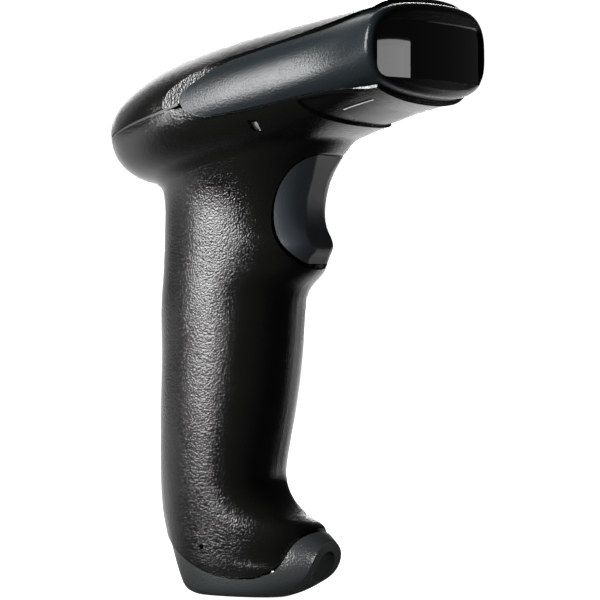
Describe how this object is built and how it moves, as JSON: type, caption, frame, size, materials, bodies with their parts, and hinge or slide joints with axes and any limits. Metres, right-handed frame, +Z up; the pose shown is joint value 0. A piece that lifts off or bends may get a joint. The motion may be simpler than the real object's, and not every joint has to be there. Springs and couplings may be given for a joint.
{
  "type": "handheld barcode scanner",
  "caption": "Corded pistol-grip handheld barcode scanner with a wide nose window, soft flank pads, crescent trigger and a toe socket for its cable.",
  "frame": {"origin": "centre of the flat foot of the base boot, on the middle plane", "axes": "+X the way it scans, +Y to its left, +Z up along the grip"},
  "size_m": [0.1164, 0.0643, 0.1796],
  "materials": {
    "black_shell": "fine leather-like grain, satin",
    "grey_bead": "smooth satin bead",
    "slate_pad": "soft-touch slate grey, satin",
    "slate_boot": "soft-touch slate grey, satin",
    "window": "glossy dark red-black filter window",
    "black_rubber": "matte",
    "label": "blank satin label",
    "steel": "bright",
    "switch_case": "moulded",
    "plunger": "moulded",
    "gold": "gold plated",
    "board": "solder mask over glass fibre",
    "chip": "moulded",
    "header": "moulded",
    "chassis": "glass filled",
    "lamp": "clear over phosphor",
    "lens": "coated",
    "ribbon": "amber film"
  },
  "bodies": {
    "housing": {"top_cover": "black_shell", "grip_half_right": "black_shell", "grip_half_left": "black_shell", "housing_gasket": "grey_bead", "nose_bumper": "slate_pad", "scan_window": "window", "window_gasket": "black_rubber", "rating_label": "label", "trigger_pin": "steel", "trigger_spring": "steel", "trigger_switch": "switch_case", "base_boot": "slate_boot", "cable_jack": "switch_case", "jack_contacts": "gold", "grip_board": "board", "grip_chips": "chip", "main_board": "board", "main_chips": "chip", "board_headers": "header", "beeper": "switch_case", "engine_chassis": "chassis", "lamp_board": "board", "flood_lamps": "lamp", "sensor_board": "board", "image_sensor": "chip", "lens_holder": "switch_case", "lens_barrel": "switch_case", "camera_lens": "lens", "aiming_lamp": "steel", "flat_cables": "ribbon", "grip_screws": "steel", "engine_screws": "steel", "board_screws": "steel"},
    "trigger": {"trigger": "slate_pad"},
    "plunger": {"switch_plunger": "plunger"}
  },
  "joints": [
    {"name": "trigger_pivot", "type": "hinge", "parent": "housing", "child": "trigger", "pos_m": [0.025, 0, 0.133], "axis": [0, 1, 0], "range_deg": [0, 2], "stiffness_Nm_per_rad": 2.5, "springref_deg": -2.86, "deforming": ["trigger_spring"]},
    {"name": "plunger_slide", "type": "slide", "parent": "housing", "child": "plunger", "axis": [-1, 0, 0], "range_m": [0, 0.0007]}
  ],
  "couplings": [
    {"joint": "plunger_slide", "follows": "trigger_pivot", "m_per_rad": 0.019}
  ]
}
